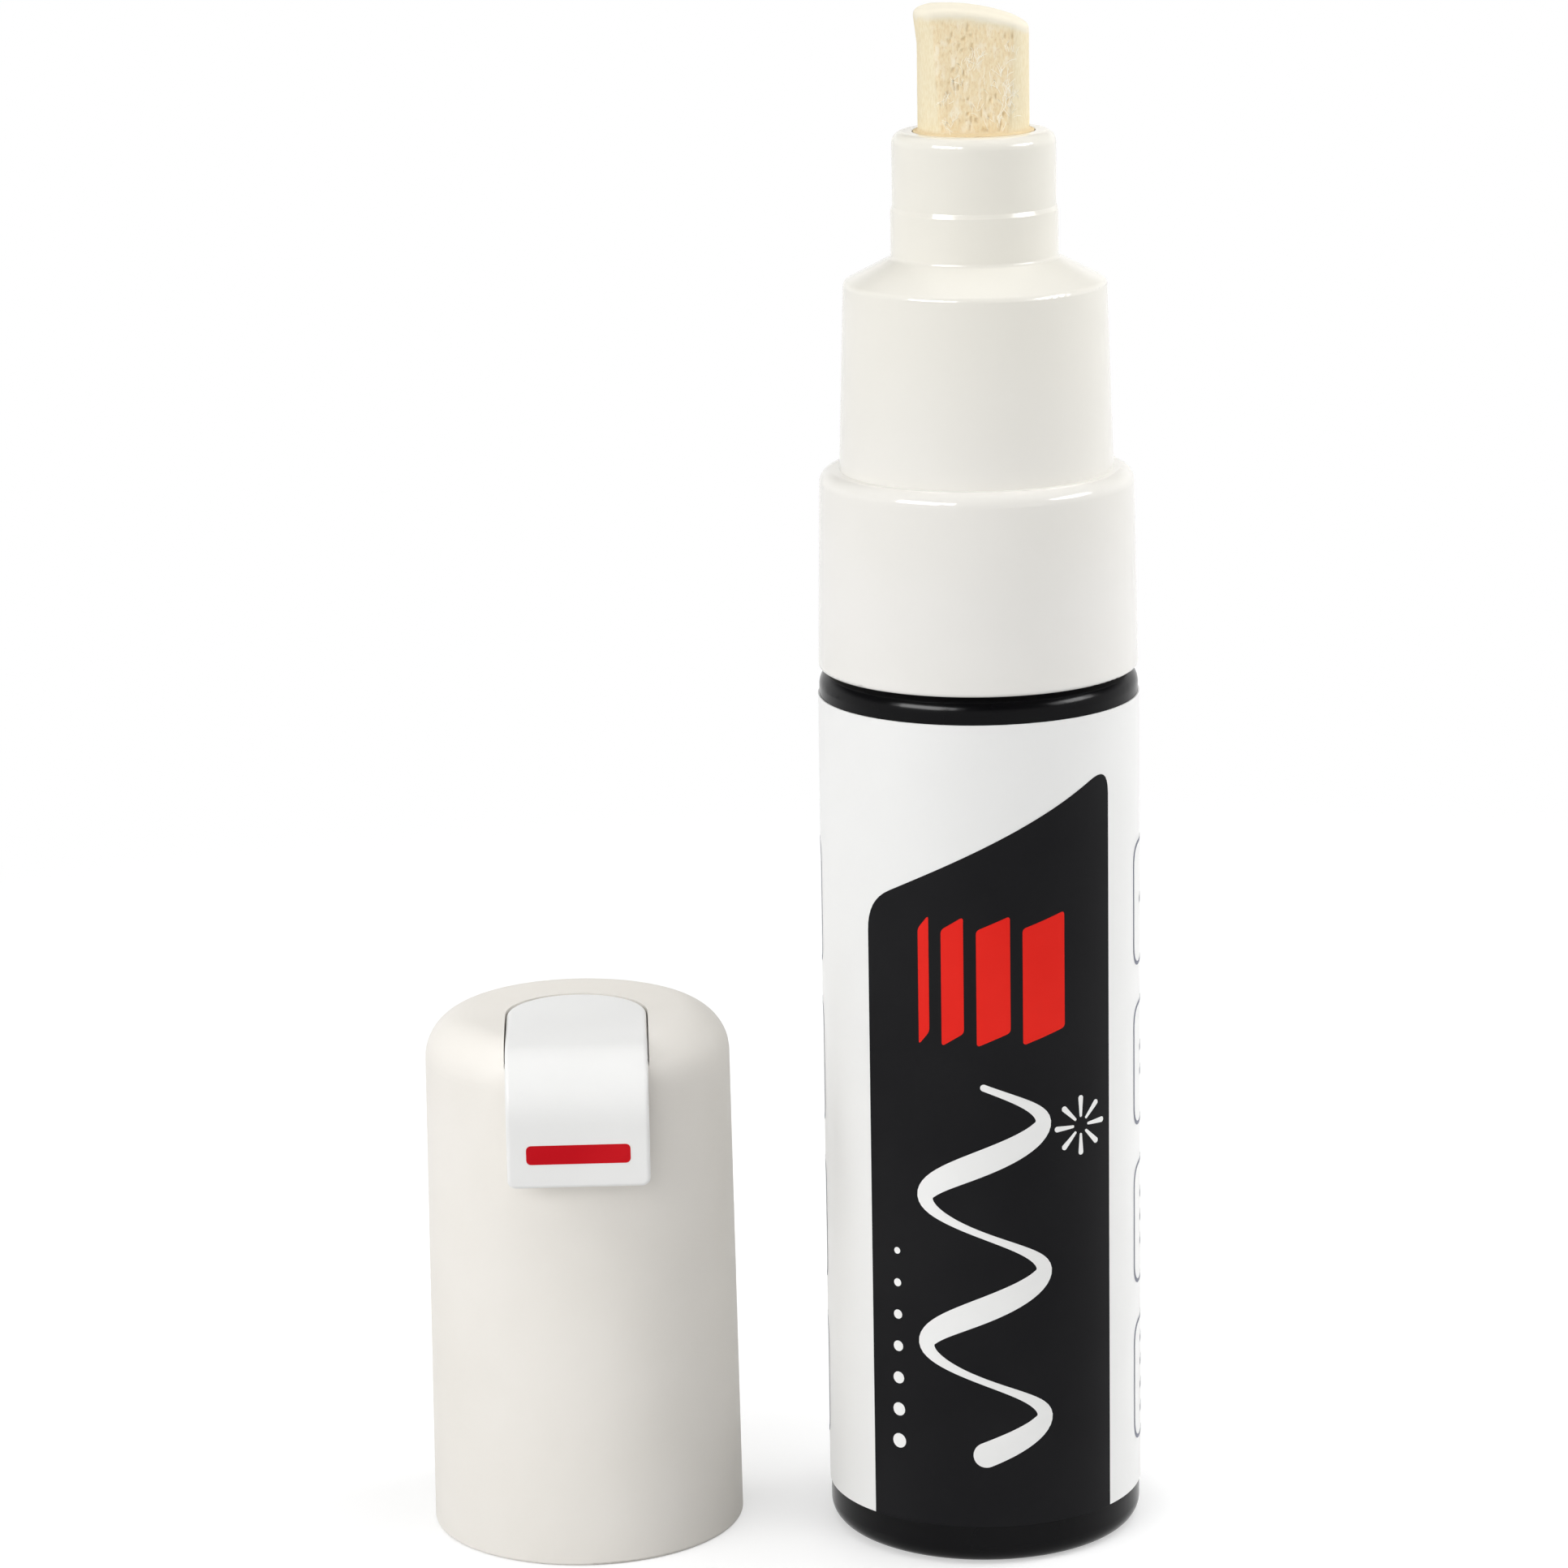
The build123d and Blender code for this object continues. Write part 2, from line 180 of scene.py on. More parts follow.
# Moulded and printed surfaces: the two tones of a faint cloud, the least and most roughness, the width and
# depth of a fine skin, and for some the gloss, the metal, the tone of specks and the tone of a warmer top
surfaces = {
    "section_plastic": {
        "dark": (0.79, 0.775, 0.74), "pale": (0.815, 0.80, 0.77), "rough": (0.08, 0.12),
        "skin": (0.0012, 0.000003), "gloss": white_gloss, "warm_top": (0.805, 0.782, 0.710),
    },
    "cap_plastic": {
        "dark": (0.815, 0.785, 0.732), "pale": (0.845, 0.815, 0.767), "rough": (0.46, 0.54),
        "skin": (0.0003, 0.000006), "gloss": satin_gloss, "speck": (0.30, 0.28, 0.25),
    },
    "clip_plastic": {
        "dark": (0.83, 0.83, 0.82), "pale": (0.85, 0.85, 0.84), "rough": (0.26, 0.32),
        "skin": (0.0004, 0.000003), "gloss": satin_gloss,
    },
    "barrel_plastic": {
        "dark": (0.002, 0.002, 0.0025), "pale": (0.0035, 0.0035, 0.004), "rough": (0.15, 0.20),
        "skin": (0.0009, 0.000002), "gloss": barrel_gloss,
    },
    "label_film": {
        "dark": (0.825, 0.825, 0.815), "pale": (0.845, 0.845, 0.835), "rough": (0.3, 0.36),
        "skin": (0.0006, 0.000002), "gloss": white_gloss,
    },
    "ink_black": {
        "dark": (0.008, 0.008, 0.009), "pale": (0.011, 0.011, 0.012), "rough": (0.36, 0.44),
        "skin": (0.0003, 0.000002), "gloss": ink_gloss, "speck": (0.35, 0.35, 0.34),
    },
    "ink_red": {
        "dark": (0.74, 0.018, 0.012), "pale": (0.80, 0.024, 0.016), "rough": (0.34, 0.42),
        "skin": (0.0003, 0.000002), "gloss": ink_gloss,
    },
    "ink_white": {
        "dark": (0.86, 0.86, 0.85), "pale": (0.90, 0.90, 0.89), "rough": (0.34, 0.42),
        "skin": (0.0003, 0.000002), "gloss": ink_gloss,
    },
    "ink_grey": {
        "dark": (0.16, 0.17, 0.22), "pale": (0.19, 0.20, 0.25), "rough": (0.34, 0.42),
        "skin": (0.0003, 0.000002), "gloss": ink_gloss,
    },
    "clip_red": {
        "dark": (0.52, 0.004, 0.010), "pale": (0.58, 0.008, 0.014), "rough": (0.3, 0.38),
        "skin": (0.0003, 0.000002), "gloss": ink_gloss,
    },
    "valve_plastic": {
        "dark": (0.74, 0.75, 0.74), "pale": (0.80, 0.80, 0.79), "rough": (0.25, 0.34),
        "skin": (0.0008, 0.000003),
    },
    "liner_plastic": {
        "dark": (0.76, 0.77, 0.76), "pale": (0.82, 0.82, 0.81), "rough": (0.3, 0.38),
        "skin": (0.0008, 0.000003),
    },
    "seal_rubber": {
        "dark": (0.018, 0.018, 0.018), "pale": (0.03, 0.03, 0.03), "rough": (0.6, 0.72),
        "skin": (0.0004, 0.000006),
    },
    "steel": {
        "dark": (0.52, 0.52, 0.51), "pale": (0.62, 0.62, 0.61), "rough": (0.16, 0.26),
        "skin": (0.0005, 0.000002), "metal": 1.0,
    },
    "felt_fibre": {
        "dark": (0.94, 0.87, 0.71), "pale": (0.96, 0.92, 0.80), "rough": (0.8, 0.9),
        "skin": (0.0001, 0.000004),
    },
}
cloud_size = 0.012
cloud_detail = 3.0
cloud_dark_at = 0.35
cloud_pale_at = 0.65
gloss_patch = 0.004
speck_spacing = 0.0085
speck_radius = 0.00011

# Height over which the section's plastic grows warmer
warm_foot = 0.070
warm_full = 0.096

# Surface that each CAD node wears
node_surfaces = {
    "barrel": "barrel_plastic",
    "barrel_label": "label_film",
    "front_section": "section_plastic",
    "nib": "nib_felt",
    "neck_gasket": "seal_rubber",
    "valve_housing": "valve_plastic",
    "valve_seal": "seal_rubber",
    "valve_plunger": "valve_plastic",
    "spring_retainer": "valve_plastic",
    "valve_spring": "steel",
    "mixing_ball_1": "steel",
    "mixing_ball_2": "steel",
    "cap_shell": "cap_plastic",
    "cap_liner": "liner_plastic",
    "cap_clip": "clip_plastic",
}

# Felt's colours: streaks on body and rind, fluff on the body, the pared tip, and painted shade in small
# pits of the body, in the pores and on the root
# A grain has a size, a detail and a stretch; its levels say where it starts, is full and how strong it is
felt_rough = 0.92
felt_gloss = 0.12
streak_grain = (0.00013, 3.0, 3.0)
streak_depth = 0.00002
body_tones = ((0.30, (0.80, 0.64, 0.40)), (0.5, (0.85, 0.71, 0.465)), (0.70, (0.88, 0.77, 0.55)))
rind_tones = ((0.3, (0.79, 0.68, 0.45)), (0.62, (0.85, 0.76, 0.555)))
fluff_tone = (0.92, 0.84, 0.67)
fluff_grain = (0.0005, 2.0, 1.8)
fluff_levels = {"From Min": 0.52, "From Max": 0.68, "To Max": 0.75}
# Painted shade of small pits on the felt's body
pit_shade_tone = (0.68, 0.48, 0.25)
pit_shade_grain = (0.00012, 1.0, 2.4)
pit_shade_levels = {"From Min": 0.60, "From Max": 0.74, "To Max": 0.45}
tip_tone = (0.84, 0.785, 0.65)
# Tone of the painted shade in the pores and on the root
pore_and_root_shade_tone = (0.64, 0.45, 0.22)

# Felt nib: its small facets, the top of its root, and its crowned tip that slants down to the right
felt_voxel = 0.00010
nib_root_top = 0.10238
tip_left = -0.00421
tip_width = 0.00812
tip_left_z = 0.11081
tip_drop = 0.00115
tip_crown = 0.00062

# Rind of the felt: how far below the tip it ends, and how squarely a flat faces front or back to be bare
rind_band = 0.0008
rind_full = 0.8 * rind_band
rind_gone = 1.5 * rind_band
tip_full = 0.5 * rind_band
tip_gone = 1.1 * rind_band
rind_waver = 0.3
rind_lump = 0.0012
flat_from = 0.74
flat_to = 0.95
flat_waver = 0.10
flat_lump_width = 0.0007
flat_lump_height = 0.0016

# Pores and fuzz of the felt: their sizes and depths, the noise levels between which a pore or a patch of
# pores opens, how dark the painted shade in a pore is, and the share of pores and fuzz that the rind keeps
pore_width = 0.00017
pore_height = 0.00050
pore_depth = 0.00009
pore_from = 0.28
pore_to = 0.55
pore_shade = 0.5
rind_pores = 0.1
patch_width = 0.0016
patch_height = 0.0030
patch_from = -0.25
patch_to = 0.2
fuzz_size = 0.00030
fuzz_depth = 0.00003
rind_fuzz = 0.3

# Painted shade on the felt's root where it goes into the holder's mouth: how dark it is, and the height
# over which it ends
painted_root_shade = 0.45
root_shade_fade_height = 0.0003

# Tufts of loose fibres on the nib's flats: place across and up, and how many fibres
tufts = (
    (0.0001, 0.1078, 16),
    (-0.0005, 0.1073, 8),
    (0.0019, 0.1066, 12),
    (0.0022, 0.1055, 18),
    (0.0024, 0.1046, 16),
    (0.0016, 0.1033, 14),
    (0.0009, 0.1058, 6),
    (-0.0017, 0.1034, 10),
    (-0.0022, 0.1047, 8),
    (0.0023, 0.1082, 7),
    (-0.0012, 0.1062, 6),
    (0.0002, 0.1042, 6),
)
tuft_spread = 0.0003

# Each fibre: its middle rises off the felt and its ends are sunk in it
fibre_seed = 7
fibre_radius = 0.000024
fibre_lengths = (0.0004, 0.0011)
fibre_lean = 0.5
fibre_bend = 0.5
fibre_points = 6
fibre_sides = 4
fibre_rise = 0.000018
fibre_sink = 0.000010

# How far from the nib's axis the rays start that find the felt under a fibre
ray_from = 0.01


def node(tree, kind, inputs=None, **settings):
    """A new shader node with settings and inputs, where an input is a value or another node's output."""
    made = tree.nodes.new(kind)
    for name, value in settings.items():
        setattr(made, name, value)
    for name, value in (inputs or {}).items():
        if isinstance(value, bpy.types.NodeSocket):
            tree.links.new(value, made.inputs[name])
        else:
            made.inputs[name].default_value = value
    return made


def new_material(name, **values):
    """A material with one Principled shader whose plain sockets take the values given."""
    material = bpy.data.materials.new(name)
    material.use_nodes = True
    shader = material.node_tree.nodes["Principled BSDF"]
    for socket, value in values.items():
        shader.inputs[socket.replace("_", " ")].default_value = value
    return material, material.node_tree, shader


def place_of(tree):
    """The point on the piece, in metres, which moves with the piece."""
    return node(tree, "ShaderNodeTexCoord").outputs["Object"]


def mapped(tree, value, levels):
    """The value mapped between levels, which are inputs of a Map Range node."""
    return node(tree, "ShaderNodeMapRange", {"Value": value} | levels).outputs["Result"]


def worked(tree, operation, first, second):
    """The result of a Math node."""
    return node(tree, "ShaderNodeMath", {0: first, 1: second}, operation=operation).outputs[0]


def ramp(tree, factor, stops):
    """A colour ramp through stops of position and colour."""
    made = node(tree, "ShaderNodeValToRGB", {"Fac": factor})
    elements = made.color_ramp.elements
    while len(elements) < len(stops):
        elements.new(1.0)
    for element, (position, colour) in zip(elements, stops):
        element.position = position
        element.color = (*colour, 1.0)
    return made.outputs["Color"]


def blended(tree, factor, below, tone):
    """The colour below where the factor is 0, and a socket's colour or a plain tone where it is 1."""
    above = tone if isinstance(tone, bpy.types.NodeSocket) else (*tone, 1.0)
    return node(tree, "ShaderNodeMix", {0: factor, 6: below, 7: above}, data_type="RGBA").outputs[2]


def grain(tree, size, detail=2.0, stretch=1.0):
    """Noise from 0 to 1 whose lumps are about as wide as size, and stretch times as high."""
    scale = (1 / size, 1 / size, 1 / size / stretch)
    spread = node(tree, "ShaderNodeVectorMath", {0: place_of(tree), 1: scale}, operation="MULTIPLY")
    made = node(tree, "ShaderNodeTexNoise", {"Vector": spread.outputs[0], "Scale": 1.0, "Detail": detail})
    return made.outputs["Fac"]


def specks(tree, spacing, radius):
    """1 in small round specks about that far apart, and 0 elsewhere."""
    cells = node(tree, "ShaderNodeTexVoronoi", {"Vector": place_of(tree), "Scale": 1 / spacing})
    levels = {"From Min": radius / spacing, "From Max": radius / spacing / 2}
    return mapped(tree, cells.outputs["Distance"], levels)


def bumped(tree, shader, height, depth):
    """Gives the shader a bump of that depth."""
    bump = node(tree, "ShaderNodeBump", {"Height": height, "Distance": depth})
    tree.links.new(bump.outputs["Normal"], shader.inputs["Normal"])


def moulded(name, dark, pale, rough, skin, gloss=plain_gloss, metal=0.0, speck=None, warm_top=None):
    """Moulded or printed surface: a cloud of two tones, a fine skin, wandering gloss and some specks."""
    material, tree, shader = new_material(name, Specular_IOR_Level=gloss, Metallic=metal)
    cloud = grain(tree, cloud_size, cloud_detail)
    colour = ramp(tree, cloud, [(cloud_dark_at, dark), (cloud_pale_at, pale)])
    if warm_top:
        height = node(tree, "ShaderNodeSeparateXYZ", {0: place_of(tree)}).outputs["Z"]
        warmth = mapped(tree, height, {"From Min": warm_foot, "From Max": warm_full})
        colour = blended(tree, warmth, colour, warm_top)
    if speck:
        colour = blended(tree, specks(tree, speck_spacing, speck_radius), colour, speck)
    tree.links.new(colour, shader.inputs["Base Color"])
    least, most = rough
    wander = mapped(tree, grain(tree, gloss_patch), {"To Min": least, "To Max": most})
    tree.links.new(wander, shader.inputs["Roughness"])
    skin_width, skin_depth = skin
    bumped(tree, shader, grain(tree, skin_width), skin_depth)
    return material


def written(tree, name):
    """What felt_surface wrote on the mesh under that name."""
    return node(tree, "ShaderNodeAttribute", attribute_name=name).outputs["Fac"]


def felt():
    """Pressed felt: streaked tan body, a paler rind, a pared tip, and painted shade in pits, pores and at
    the root.
    """
    material, tree, shader = new_material("nib_felt", Roughness=felt_rough, Specular_IOR_Level=felt_gloss)
    streak = grain(tree, *streak_grain)
    body = ramp(tree, streak, body_tones)
    body = blended(tree, mapped(tree, grain(tree, *fluff_grain), fluff_levels), body, fluff_tone)
    # Small pits on the body are painted shade, with no hollow in the mesh
    body = blended(tree, mapped(tree, grain(tree, *pit_shade_grain), pit_shade_levels), body, pit_shade_tone)
    colour = blended(tree, written(tree, "rind"), body, ramp(tree, streak, rind_tones))
    colour = blended(tree, written(tree, "tip"), colour, tip_tone)
    # Pores and the root take painted shade in this tone
    colour = blended(tree, written(tree, "painted_shade_share"), colour, pore_and_root_shade_tone)
    tree.links.new(colour, shader.inputs["Base Color"])
    bumped(tree, shader, streak, streak_depth)
    return material


def make_materials():
    """All materials by name."""
    made = {name: moulded(name, **surface) for name, surface in surfaces.items()}
    made["nib_felt"] = felt()
    return made


def wear(piece, material):
    """Gives a piece its one material."""
    piece.data.materials.clear()
    piece.data.materials.append(material)


def dress_nodes(materials):
    """Gives every CAD node its material."""
    for name, surface in node_surfaces.items():
        wear(nodes[name], materials[surface])


def add_piece(name, mesh, body, material):
    """A new piece whose place is in its mesh, on a body."""
    piece = bpy.data.objects.new(name, mesh)
    bpy.context.scene.collection.objects.link(piece)
    wear(piece, material)
    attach(piece, body)
    return piece


def rounded(corners, reach):
    """A convex outline with its corners rounded off over that reach."""
    outline = []
    for index, corner in enumerate(corners):
        start = corner + (corners[index - 1] - corner).normalized() * reach
        end = corner + (corners[(index + 1) % len(corners)] - corner).normalized() * reach
        shares = [step / round_facets for step in range(round_facets + 1)]
        outline += [start.lerp(corner, share).lerp(corner.lerp(end, share), share) for share in shares]
    return outline


def rectangle(left, foot, right, top):
    """The corners of a rectangle."""
    return [Vector((left, foot)), Vector((right, foot)), Vector((right, top)), Vector((left, top))]


def block(left, foot, right, top, corner):
    """A rectangle with rounded corners."""
    return rounded(rectangle(left, foot, right, top), corner)


def arc(middle, radius, start, sweep):
    """Points on an arc, from one angle through the sweep."""
    steps = 2 * round_facets
    angles = [start + sweep * step / steps for step in range(steps + 1)]
    return [middle + Vector((math.cos(angle), math.sin(angle))) * radius for angle in angles]


def stroke(points, widths):
    """Outlines that make up a line with the width given at each point and round ends."""
    left, right = [], []
    for index, point in enumerate(points):
        heading = (points[min(index + 1, len(points) - 1)] - points[max(index - 1, 0)]).normalized()
        side = Vector((-heading.y, heading.x)) * widths[index] / 2
        left.append(point + side)
        right.append(point - side)
    outlines = [[right[i], right[i + 1], left[i + 1], left[i]] for i in range(len(points) - 1)]
    for end, before in ((0, 1), (-1, -2)):
        heading = points[end] - points[before]
        turn = math.atan2(heading.y, heading.x) - math.pi / 2
        outlines.append(arc(points[end], widths[end] / 2, turn, math.pi))
    return outlines


def frame_line(outer, inner):
    """Outlines that fill the band between two outlines of as many points."""
    count = len(outer)
    return [[outer[i], outer[(i + 1) % count], inner[(i + 1) % count], inner[i]] for i in range(count)]


def on_label(across, up, depth):
    """Where a place on the flat print lies round the barrel: its outer end rides up over the inner one."""
    angle = across / label_radius
    lap_share = (angle - math.pi + film_lap_rise) / film_lap_rise
    radius = label_radius + depth + film_thickness * min(1, max(0, lap_share))
    return Vector((radius * math.sin(angle), -radius * math.cos(angle), up))


def on_tab(across, up, depth):
    """Where a place on the clip's tab lies, in front of the cap's axis."""
    turned = Matrix.Rotation(cap_turn, 3, "Z") @ Vector((across, -tab_front - depth, 0))
    return Vector((cap_axis.x + turned.x, cap_axis.y + turned.y, up))


def printed_mesh(name, outlines, lift, thickness, place):
    """Flat outlines made into a thin solid, sliced finely enough to bend, and put in place."""
    sheet = bmesh.new()
    for outline in outlines:
        sheet.faces.new([sheet.verts.new((across, up, 0)) for across, up in outline])
    bmesh.ops.remove_doubles(sheet, verts=sheet.verts[:], dist=weld_distance)
    step = label_radius * film_step
    lowest = min(vert.co.x for vert in sheet.verts)
    highest = max(vert.co.x for vert in sheet.verts)
    for index in range(math.ceil(lowest / step), math.floor(highest / step) + 1):
        everything = sheet.verts[:] + sheet.edges[:] + sheet.faces[:]
        cut = {"plane_co": (index * step, 0, 0), "plane_no": (1, 0, 0), "dist": weld_distance}
        bmesh.ops.bisect_plane(sheet, geom=everything, **cut)
    raised = bmesh.ops.extrude_face_region(sheet, geom=sheet.faces[:])["geom"]
    for item in raised:
        if isinstance(item, bmesh.types.BMVert):
            item.co.z = thickness
    bmesh.ops.recalc_face_normals(sheet, faces=sheet.faces[:])
    for vert in sheet.verts:
        vert.co = place(vert.co.x, vert.co.y, vert.co.z + lift)
    return finished_mesh(name, sheet)


def finished_mesh(name, shape):
    """The shape as a mesh, smooth but for its sharp edges."""
    mesh = bpy.data.meshes.new(name)
    shape.to_mesh(mesh)
    shape.free()
    mesh.shade_smooth()
    mesh.set_sharp_from_angle(angle=sharp_angle)
    return mesh


def make_label_film(materials):
    """The label's film, in place of the CAD label."""
    half = math.pi * label_radius
    end = half + film_lap * label_radius
    sheet = rectangle(-half, label_low.z, end, label_high.z)
    mesh = printed_mesh("label_film", [sheet], -film_thickness, film_thickness, on_label)
    film = add_piece("label_film", mesh, "marker", materials["label_film"])
    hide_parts("barrel_label")


def panel_outlines():
    """Dark panel with straight sides, open towards the foot, and a slanted top."""
    foot = label_low.z
    corners = [
        Vector((panel_left, foot)),
        Vector((panel_right, foot)),
        Vector((panel_right, panel_right_top)),
        Vector((panel_left, panel_left_top)),
    ]
    soft = rounded(corners, panel_corner)
    upper = [point for point in soft if point.y > foot + 2 * panel_corner]
    return [corners[:2] + upper]


def bar_outlines():
    """Upright bars, each broader than the one before, with slanted tops and feet."""
    across = (panel_left + panel_right - sum(bar_widths) - bar_gap * (len(bar_widths) - 1)) / 2
    top = bar_foot + bar_height
    outlines = []
    for width in bar_widths:
        corners = [
            Vector((across, bar_foot - bar_slant)),
            Vector((across + width, bar_foot)),
            Vector((across + width, top)),
            Vector((across, top - bar_slant)),
        ]
        outlines.append(rounded(corners, bar_corner))
        across += width + bar_gap
    return outlines


def chalk_outlines():
    """A broad-nib wave, a star of short strokes and dots that grow smaller upwards."""
    points, widths = [], []
    for index in range(wave_points + 1):
        share = index / wave_points
        turn = 2 * math.pi * wave_turns * share
        across = wave_middle + wave_reach * math.sin(turn)
        points.append(Vector((across, wave_foot + (wave_top - wave_foot) * share)))
        slope_share = (1 + math.cos(turn)) / 2
        widths.append(wave_thin + (wave_broad - wave_thin) * slope_share)
    outlines = stroke(points, widths)
    for ray in range(star_rays):
        angle = 2 * math.pi * ray / star_rays
        heading = Vector((math.cos(angle), math.sin(angle)))
        line = [star_middle + heading * star_inner, star_middle + heading * star_outer]
        outlines += stroke(line, [star_width / 2, star_width])
    for index, radius in enumerate(dot_radii):
        middle = Vector((dots_across, dots_foot + dots_spacing * index))
        outlines.append(arc(middle, radius, 0, 2 * math.pi)[:-1])
    return outlines


def square_outlines():
    """Columns of outlined squares at the sides, with a bar in the top one and one more in each below."""
    outlines = []
    for across in square_columns:
        for index, up in enumerate(square_heights):
            left, right = across - square_half, across + square_half
            outer = block(left, up - square_half, right, up + square_half, square_corner)
            middle = Vector((across, up))
            inner = [middle + (point - middle) * (1 - square_line / square_half) for point in outer]
            outlines += frame_line(outer, inner)
            for tick in range(index + 1):
                height = up + (tick - index / 2) * tick_spacing
                foot, top = height - tick_width / 2, height + tick_width / 2
                outlines.append(block(across - tick_reach, foot, across + tick_reach, top, tick_corner))
    return outlines


def make_print(materials):
    """The layers of ink on the label and the bar on the clip's tab."""
    layers = {
        "print_panel": (panel_outlines(), first_lift, "ink_black"),
        "print_bars": (bar_outlines(), second_lift, "ink_red"),
        "print_chalk": (chalk_outlines(), second_lift, "ink_white"),
        "print_squares": (square_outlines(), first_lift, "ink_grey"),
    }
    for name, (outlines, lift, ink) in layers.items():
        mesh = printed_mesh(name, outlines, lift, ink_thickness, on_label)
        add_piece(name, mesh, "marker", materials[ink])
    middle = clip_foot + mark_above_foot
    foot, top = middle - mark_half_height, middle + mark_half_height
    bar = block(-mark_half_width, foot, mark_half_width, top, mark_corner)
    mesh = printed_mesh("clip_mark", [bar], first_lift, ink_thickness, on_tab)
    add_piece("clip_mark", mesh, "cap", materials["clip_red"])


def even_nib():
    """The CAD nib's shape with even small facets."""
    holder = bpy.data.objects.new("nib_blank", nodes["nib"].data.copy())
    bpy.context.scene.collection.objects.link(holder)
    remesh = holder.modifiers.new("even", "REMESH")
    remesh.mode = "VOXEL"
    remesh.voxel_size = felt_voxel
    graph = bpy.context.evaluated_depsgraph_get()
    mesh = bpy.data.meshes.new_from_object(holder.evaluated_get(graph))
    bpy.data.objects.remove(holder)
    return mesh


def step_up(low, high, value):
    """0 below low, 1 above high and smooth between them."""
    share = min(1, max(0, (value - low) / (high - low)))
    return share * share * (3 - 2 * share)


def lumps(point, width, height):
    """Noise between -1 and 1 whose lumps have that width and height."""
    return noise.noise(Vector((point.x / width, point.y / width, point.z / height)))


def tip_height(across):
    """Height of the nib's slanted, crowned tip."""
    share = (across - tip_left) / tip_width
    return tip_left_z - tip_drop * share + 4 * tip_crown * share * (1 - share)


def felt_surface(mesh):
    """Sinks pores and fuzz into the nib, and writes on its points where rind and tip are and how much
    painted shade darkens pores and root.
    """
    rind = mesh.attributes.new("rind", "FLOAT", "POINT").data
    painted_shade_share = mesh.attributes.new("painted_shade_share", "FLOAT", "POINT").data
    tip = mesh.attributes.new("tip", "FLOAT", "POINT").data
    normals = [vertex.normal.copy() for vertex in mesh.vertices]
    for vertex, normal in zip(mesh.vertices, normals):
        point = vertex.co.copy()
        below = tip_height(point.x) - point.z + rind_band * rind_waver * lumps(point, rind_lump, rind_lump)
        waver = flat_waver * lumps(point, flat_lump_width, flat_lump_height)
        bare = step_up(flat_from, flat_to, abs(normal.y) + waver) * step_up(rind_full, rind_gone, below)
        hole = step_up(pore_from, pore_to, lumps(point, pore_width, pore_height))
        hole *= rind_pores + (1 - rind_pores) * bare
        hole *= step_up(patch_from, patch_to, lumps(point, patch_width, patch_height))
        fuzz = (1 + lumps(point, fuzz_size / 2, fuzz_size * 2)) / 2
        fuzz *= rind_fuzz + (1 - rind_fuzz) * bare
        vertex.co = point - normal * (pore_depth * hole + fuzz_depth * fuzz)
        rind[vertex.index].value = 1 - bare
        tip[vertex.index].value = 1 - step_up(tip_full, tip_gone, below)
        # The root, where it goes into the mouth, is darkened with painted shade on top of the painted shade
        # in pores
        shade_at_root = painted_root_shade * (1 - step_up(nib_root_top, nib_root_top + root_shade_fade_height, point.z))
        painted_shade_share[vertex.index].value = max(pore_shade * hole, shade_at_root)
    mesh.shade_smooth()


def strand(shape, points):
    """A thin closed strand through points, pointed at both ends."""
    rings = []
    for index, point in enumerate(points[1:-1], 1):
        heading = (points[index + 1] - points[index - 1]).normalized()
        side = heading.orthogonal().normalized()
        other = heading.cross(side)
        angles = [2 * math.pi * step / fibre_sides for step in range(fibre_sides)]
        spokes = [side * math.cos(angle) + other * math.sin(angle) for angle in angles]
        rings.append([shape.verts.new(point + spoke * fibre_radius) for spoke in spokes])
    first, last = shape.verts.new(points[0]), shape.verts.new(points[-1])
    for step in range(fibre_sides):
        beside = (step + 1) % fibre_sides
        shape.faces.new([first, rings[0][beside], rings[0][step]])
        shape.faces.new([rings[-1][step], rings[-1][beside], last])
        for low, high in zip(rings, rings[1:]):
            shape.faces.new([low[step], low[beside], high[beside], high[step]])


def make_fibres(mesh, material):
    """Tufts of loose fibres on the nib's flats, each fibre with its middle a little off the felt."""
    draw = random.Random(fibre_seed)
    corners = [vertex.co for vertex in mesh.vertices]
    surface = BVHTree.FromPolygons(corners, [face.vertices[:] for face in mesh.polygons])
    shape = bmesh.new()
    places = [(facing, *tuft[:2]) for facing in (-1, 1) for tuft in tufts for fibre in range(tuft[2])]
    for facing, tuft_across, tuft_up in places:
        length = draw.uniform(*fibre_lengths)
        lean = draw.gauss(0, fibre_lean)
        bend = draw.gauss(0, fibre_bend)
        across = draw.gauss(tuft_across, tuft_spread)
        up = draw.gauss(tuft_up, tuft_spread) - length / 2
        points = []
        for step in range(fibre_points):
            share = step / (fibre_points - 1)
            turn = lean + bend * (share - 0.5)
            side = across + length * share * math.sin(turn)
            height = up + length * share * math.cos(turn)
            start = Vector((side, facing * ray_from, height))
            hit = surface.ray_cast(start, Vector((0, -facing, 0)))[0]
            if hit:
                lift = fibre_rise * math.sin(math.pi * share) - fibre_sink
                points.append(hit + Vector((0, facing * lift, 0)))
        if len(points) == fibre_points:
            strand(shape, points)
    bmesh.ops.recalc_face_normals(shape, faces=shape.faces[:])
    add_piece("nib_fibres", finished_mesh("nib_fibres", shape), "nib_unit", material)


def make_nib(materials):
    """The felt nib and its loose fibres, in place of the CAD nib."""
    mesh = even_nib()
    mesh.name = "felt_nib"
    felt_surface(mesh)
    piece = add_piece("felt_nib", mesh, "nib_unit", materials["nib_felt"])
    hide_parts("nib")
    make_fibres(mesh, materials["felt_fibre"])


